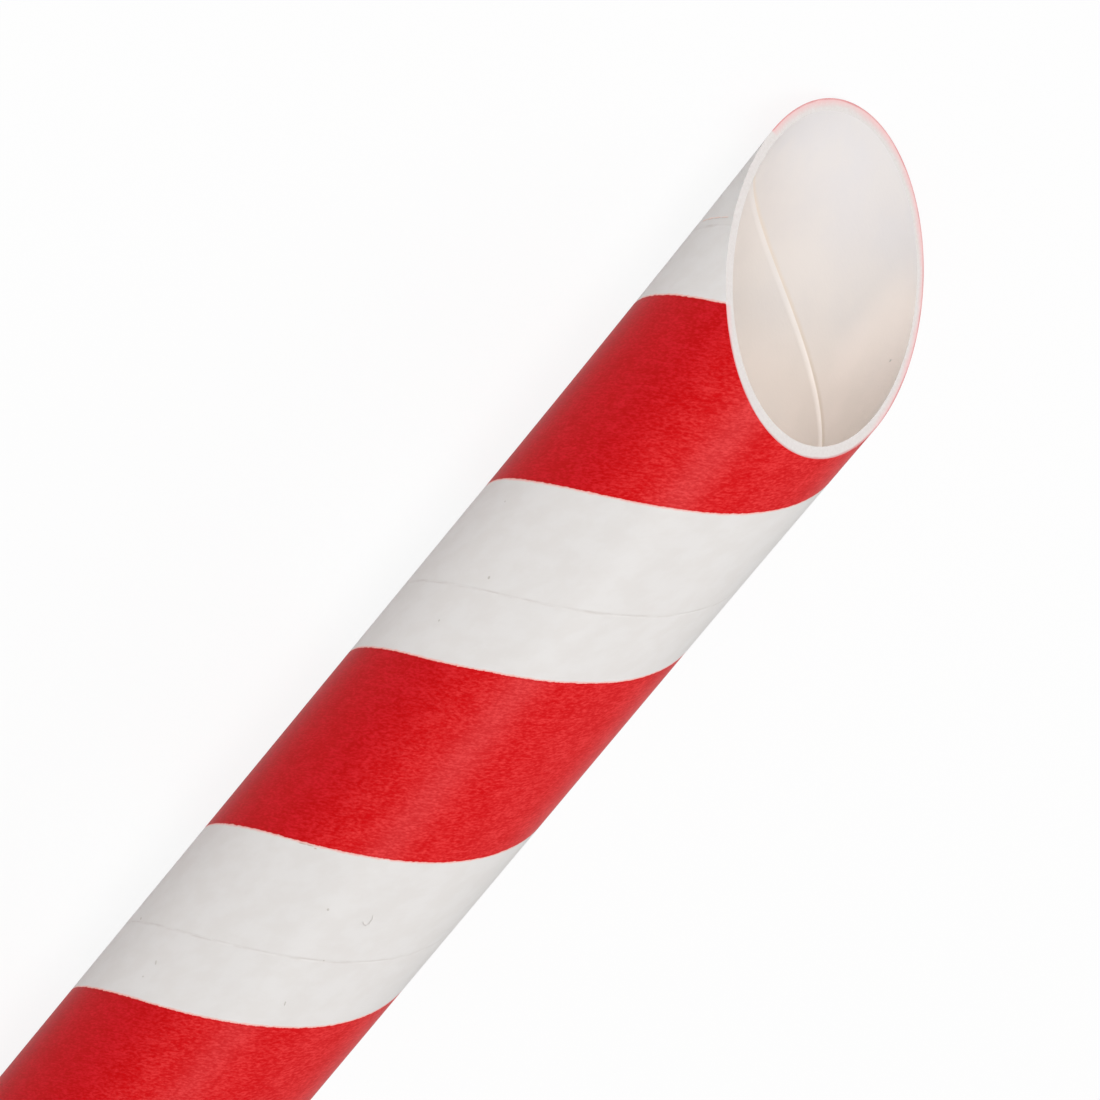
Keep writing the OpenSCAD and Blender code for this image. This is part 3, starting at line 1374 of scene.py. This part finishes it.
@dataclass
class Litter:
    """Dust specks, a spatter of ink and one short hair, as they lie on the photographed straw.

    Attributes:
        sizes: The straw's sizes.
        thickness: Thickness of a speck.
        lift: Height of a speck's middle over the paper, as a share of its thickness.
        dust: The grey specks.
        spatter: The reddish specks beside the stripe.
        smear: A faint reddish smear beside the seam, near the tip.
        hair: Places along the hair, as the way back in millimetres and the angle in degrees.
        hair_radius: Half the hair's thickness.
        hair_sides: Sides of the hair's section.
        hair_blunt: How blunt its ends are, as a share of one step along it.
        hair_taper: How suddenly it narrows towards them; nearer 0 is more sudden.
    """

    sizes: StrawSizes
    thickness: float = 0.014 * MM
    lift: float = 0.3
    dust: tuple[Speck, ...] = (
        Speck(42.68, 152.5, 0.13, 0.11), Speck(44.78, 165.9, 0.08, 0.07), Speck(50.28, 106.3, 0.22, 0.09, 40.0),
        Speck(49.88, 76.3, 0.20, 0.10, 80.0), Speck(51.21, 105.7, 0.09, 0.08), Speck(47.55, 164.8, 0.24, 0.07, 20.0),
        Speck(26.04, 112.6, 0.16, 0.13), Speck(23.17, 91.1, 0.09, 0.08), Speck(29.15, 106.7, 0.12, 0.08),
        Speck(7.93, -91.0, 0.14, 0.12, 0.0, True),
    )
    spatter: tuple[Speck, ...] = (
        Speck(41.12, 125.1, 0.42, 0.05, ALONG_STRIP), Speck(40.93, 128.4, 0.36, 0.04, ALONG_STRIP),
        Speck(40.86, 131.0, 0.16, 0.05, ALONG_STRIP),
    )
    smear: tuple[Speck, ...] = (
        Speck(7.67, 68.4, 0.66, 0.09, ALONG_STRIP), Speck(7.36, 73.7, 0.66, 0.10, ALONG_STRIP),
        Speck(7.06, 79.0, 0.66, 0.09, ALONG_STRIP), Speck(6.75, 84.3, 0.60, 0.07, ALONG_STRIP),
    )
    hair: tuple[tuple[float, float], ...] = (
        (41.66, 170.0), (41.80, 170.8), (41.93, 171.1), (42.09, 171.2), (42.27, 170.8), (42.28, 169.7), (42.23, 168.7),
        (42.17, 168.2),
    )
    hair_radius: float = 0.02 * MM
    hair_sides: int = 6
    hair_blunt: float = 0.4
    hair_taper: float = 0.4

    def build(self) -> list[bpy.types.Object]:
        """Lays the specks and the hair on the tube, and returns one object for each kind."""
        made = []
        for name, specks, finish in (
            ("dust_specks", self.dust, PlainFinish("grey_dust", srgb(214, 209, 204), srgb(203, 197, 191))),
            ("ink_spatter", self.spatter, PlainFinish("ink_spot", srgb(216, 194, 182), srgb(206, 180, 168))),
            ("ink_smear", self.smear, PlainFinish("rubbed_ink", srgb(243, 224, 217), srgb(238, 214, 206))),
        ):
            shape = bmesh.new()
            for speck in specks:
                bmesh.ops.create_icosphere(shape, subdivisions=2, radius=0.5, matrix=self._lie(speck))
            made.append(self._finish(name, shape, finish.build()))
        finish = PlainFinish("grey_hair", srgb(224, 220, 217), srgb(217, 212, 208))
        made.append(self._finish("loose_hair", self._hair(), finish.build()))
        return made

    def _lie(self, speck: Speck) -> Matrix:
        """Finds how a round grain is flattened and laid on the surface.

        Args:
            speck: The grain.

        Returns:
            The matrix that takes a ball of 1 m to the grain.
        """
        angle = math.radians(speck.angle)
        place = self.sizes.on_surface(speck.back * MM, angle, self.lift * self.thickness, speck.inside)
        outward = Vector((0.0, math.sin(angle), -math.cos(angle)))
        turned = Matrix.Rotation(math.radians(speck.turn), 3, outward) @ Vector((1.0, 0.0, 0.0))
        axes = Matrix((turned, outward.cross(turned), outward)).transposed()
        size = Matrix.Diagonal((speck.length * MM, speck.width * MM, self.thickness))
        return Matrix.Translation(place) @ (axes @ size).to_4x4()

    def _hair(self) -> bmesh.types.BMesh:
        """Builds the hair as a closed thread with pointed ends.

        Returns:
            The thread's shape.
        """
        places = [
            self.sizes.on_surface(back * MM, math.radians(angle), self.hair_radius)
            for back, angle in self._smooth_hair()
        ]
        last = len(places) - 1
        turns = [math.tau * side / self.hair_sides for side in range(self.hair_sides)]
        shape = bmesh.new()
        rings = []
        for index, place in enumerate(places):
            ahead = (places[min(index + 1, last)] - places[max(index - 1, 0)]).normalized()
            outward = Vector((0.0, place.y, place.z - self.sizes.axis_height)).normalized()
            aside = ahead.cross(outward).normalized()
            share = (index + self.hair_blunt) / (last + 2 * self.hair_blunt)
            radius = self.hair_radius * math.sin(math.pi * share) ** self.hair_taper
            rings.append([
                shape.verts.new(place + radius * (math.cos(turn) * aside + math.sin(turn) * outward))
                for turn in turns])
        for near, far in zip(rings, rings[1:]):
            for side in range(self.hair_sides):
                beside = (side + 1) % self.hair_sides
                shape.faces.new((near[side], near[beside], far[beside], far[side]))
        shape.faces.new(reversed(rings[0]))
        shape.faces.new(rings[-1])
        return shape

    def _smooth_hair(self) -> list[tuple[float, float]]:
        """Rounds the hair's corners by cutting each of them twice.

        Returns:
            More places along the same hair.
        """
        places = list(self.hair)
        for _ in range(2):
            rounded = [places[0]]
            for first, second in zip(places, places[1:]):
                for share in (0.25, 0.75):
                    rounded.append(tuple(a + (b - a) * share for a, b in zip(first, second)))
            places = rounded + [places[-1]]
        return places

    @staticmethod
    def _finish(name: str, shape: bmesh.types.BMesh, material: bpy.types.Material) -> bpy.types.Object:
        """Turns a shape into a smooth object of one material.

        Args:
            name: The object's name.
            shape: The finished shape, which is freed.
            material: Its material.

        Returns:
            The object.
        """
        bmesh.ops.recalc_face_normals(shape, faces=shape.faces)
        for polygon in shape.faces:
            polygon.smooth = True
        mesh = bpy.data.meshes.new(name)
        shape.to_mesh(mesh)
        shape.free()
        mesh.materials.append(material)
        return add_object(name, mesh)


@dataclass(frozen=True)
class Viewpoint:
    """Where the photograph was taken from.

    Attributes:
        back_from_point: How far behind the tip's point the picture's middle lies, along the straw.
        aside: How far beside the axis it lies.
        distance: Distance from there to the camera.
        azimuth: Direction of the camera round the vertical, from the straw's length, in degrees.
        elevation: Its height over the horizon, in degrees.
        roll: Turn of the picture about the line of sight, in degrees.
        lens: Focal length in millimetres.
        film_width: Width of the film in millimetres.
        seen: Nearest and farthest distance that the camera sees.
    """

    back_from_point: float = 24.07 * MM
    aside: float = 2.25 * MM
    distance: float = 272.0 * MM
    azimuth: float = 69.65
    elevation: float = 52.67
    roll: float = -146.05
    lens: float = 193.88
    film_width: float = 36.0
    seen: tuple[float, float] = (0.01, 20.0)

    def build(self, sizes: StrawSizes) -> bpy.types.Object:
        """Places the camera.

        Args:
            sizes: The straw's sizes, which place the picture's middle.

        Returns:
            The camera's object, already the scene's camera.
        """
        aim = Vector((sizes.length / 2 - self.back_from_point, self.aside, sizes.axis_height))
        azimuth, elevation = math.radians(self.azimuth), math.radians(self.elevation)
        toward = Vector((
            math.cos(elevation) * math.cos(azimuth),
            math.cos(elevation) * math.sin(azimuth),
            math.sin(elevation)))
        data = bpy.data.cameras.new("camera")
        data.lens = self.lens
        data.sensor_fit = "HORIZONTAL"
        data.sensor_width = self.film_width
        data.clip_start, data.clip_end = self.seen
        camera = bpy.data.objects.new("camera", data)
        turn = toward.to_track_quat("Z", "Y").to_matrix() @ Matrix.Rotation(-math.radians(self.roll), 3, "Z")
        camera.matrix_world = Matrix.Translation(aim + toward * self.distance) @ turn.to_4x4()
        bpy.context.scene.collection.objects.link(camera)
        bpy.context.scene.camera = camera
        return camera


@dataclass(frozen=True)
class Softbox:
    """One large soft lamp.

    Attributes:
        name: The lamp's name.
        place: Where it hangs, in metres.
        size: Its width and height in metres.
        power: Its power in watts.
        colour: Colour of its light.
    """

    name: str
    place: tuple[float, float, float]
    size: tuple[float, float]
    power: float
    colour: tuple[float, float, float] = (1.0, 1.0, 1.0)

    def build(self, aim: Vector) -> bpy.types.Object:
        """Hangs the lamp so that it points at the straw.

        Args:
            aim: What it points at.

        Returns:
            The lamp's object.
        """
        data = bpy.data.lights.new(self.name, "AREA")
        data.shape = "RECTANGLE"
        data.size, data.size_y = self.size
        data.energy = self.power
        data.color = self.colour
        lamp = bpy.data.objects.new(self.name, data)
        place = Vector(self.place)
        lamp.matrix_world = Matrix.Translation(place) @ (place - aim).to_track_quat("Z", "Y").to_matrix().to_4x4()
        bpy.context.scene.collection.objects.link(lamp)
        return lamp


@dataclass
class Studio:
    """Pale table, white surroundings and soft lamps.

    Attributes:
        sizes: The straw's sizes.
        ambient: Level of the light from all round.
        mirrored: Level of the table and the surroundings in what the ink mirrors of them.
        floor_width: Width of the table top.
        floor_lift: Share of plain white in what the camera sees of the table.
        floor_colour: Colour of the table.
        floor_roughness: How matt the table is.
        floor_specular: How strongly it mirrors.
        lamps: The soft lamps.
    """

    sizes: StrawSizes
    ambient: float = 0.295
    mirrored: float = 0.42
    floor_width: float = 6.0
    floor_lift: float = 0.9
    floor_colour: Colour = srgb(240, 240, 240)
    floor_roughness: float = 0.9
    floor_specular: float = 0.13
    lamps: list[Softbox] = field(default_factory=lambda: [
        Softbox("key", (-0.04, 0.18, 0.83), (0.36, 0.36), 1.76),
        Softbox("mouth", (0.74, 0.24, 0.55), (0.50, 0.50), 4.9),
        Softbox("right", (0.62, -0.55, 0.30), (0.50, 0.50), 2.0),
        Softbox("rear right", (-0.10, -0.60, 0.48), (0.50, 0.50), 0.35),
        Softbox("left", (0.60, 0.62, 0.12), (0.50, 0.50), 0.5),
    ])

    def build(self) -> None:
        """Makes the table, the surroundings and the lamps."""
        self._floor()
        self._world()
        aim = Vector((self.sizes.length / 2 - self.sizes.tip_reach, 0.0, self.sizes.axis_height))
        for lamp in self.lamps:
            lamp.build(aim)

    def _seen(self, recipe: Recipe) -> tuple[Socket, Socket]:
        """Finds what kind of ray meets the table or the surroundings.

        Args:
            recipe: The recipe of the table's material or of the surroundings.

        Returns:
            A socket that is 1 for rays that end in the picture and for mirrored ones, and 0 for rays that
            light things; and the level of white that such a ray sees.
        """
        path = recipe.node("ShaderNodeLightPath").outputs
        direct = recipe.math("MAXIMUM", path["Is Camera Ray"], path["Is Transmission Ray"])
        level = recipe.plus(direct, recipe.times(path["Is Glossy Ray"], self.mirrored))
        return recipe.math("MAXIMUM", direct, path["Is Glossy Ray"]), level

    def _floor(self) -> None:
        """Lays the table top."""
        mesh = bpy.data.meshes.new("table")
        half = self.floor_width / 2
        corner_signs = ((-1, -1), (1, -1), (1, 1), (-1, 1))
        mesh.from_pydata([(half * x, half * y, 0.0) for x, y in corner_signs], [], [(0, 1, 2, 3)])
        finish = Finish("table")
        mesh.materials.append(finish.coat(self.floor_colour, self.floor_roughness, self.floor_specular))
        white = finish.node("ShaderNodeEmission")
        mixed = finish.node("ShaderNodeMixShader")
        seen, level = self._seen(finish)
        finish.feed(white.inputs["Strength"], level)
        finish.feed(mixed.inputs[0], finish.times(seen, self.floor_lift))
        finish.feed(mixed.inputs[1], finish.shader.outputs[0])
        finish.feed(mixed.inputs[2], white.outputs[0])
        finish.feed(finish.tree.nodes["Material Output"].inputs["Surface"], mixed.outputs[0])
        add_object("table", mesh)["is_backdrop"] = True

    def _world(self) -> None:
        """Surrounds the table with even light that the camera sees as white."""
        world = bpy.data.worlds.new("studio")
        bpy.context.scene.world = world
        world.use_nodes = True
        recipe = Recipe(world.node_tree)
        background = world.node_tree.nodes["Background"]
        background.inputs["Color"].default_value = (1.0, 1.0, 1.0, 1.0)
        seen, level = self._seen(recipe)
        unseen = recipe.times(recipe.minus(1.0, seen), self.ambient)
        recipe.feed(background.inputs["Strength"], recipe.plus(level, unseen))


def dress(piece: bpy.types.Object, replaced: bool = False) -> None:
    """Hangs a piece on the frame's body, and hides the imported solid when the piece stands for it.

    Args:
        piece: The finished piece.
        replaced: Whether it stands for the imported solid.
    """
    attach(piece, BODY)
    if replaced:
        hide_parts(NODE)
    log.info("%s: %d points, %d faces", piece.name, len(piece.data.vertices), len(piece.data.polygons))


def corners(bounds: Iterable[Iterable[float]]) -> list[list[float]]:
    """Returns a box's corners as plain lists of numbers."""
    return [[float(value) for value in corner] for corner in bounds]


def main() -> None:
    """Builds the camera, the studio, the straw, its loose fibres and the litter on it."""
    logging.basicConfig(level=logging.INFO, format="%(message)s")
    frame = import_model()
    solid_box = corners(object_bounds())
    bpy.context.scene.view_settings.view_transform = "Standard"
    sizes = StrawSizes.from_frame(frame["record"])
    Viewpoint().build(sizes)
    Studio(sizes).build()
    wall = WoundStraw(sizes).build()
    dress(wall, replaced=True)
    dress(CutFibres(wall).build())
    for piece in Litter(sizes).build():
        dress(piece)
    {"cad": solid_box, "visual": corners(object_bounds())}


if __name__ == "__main__":
    main()
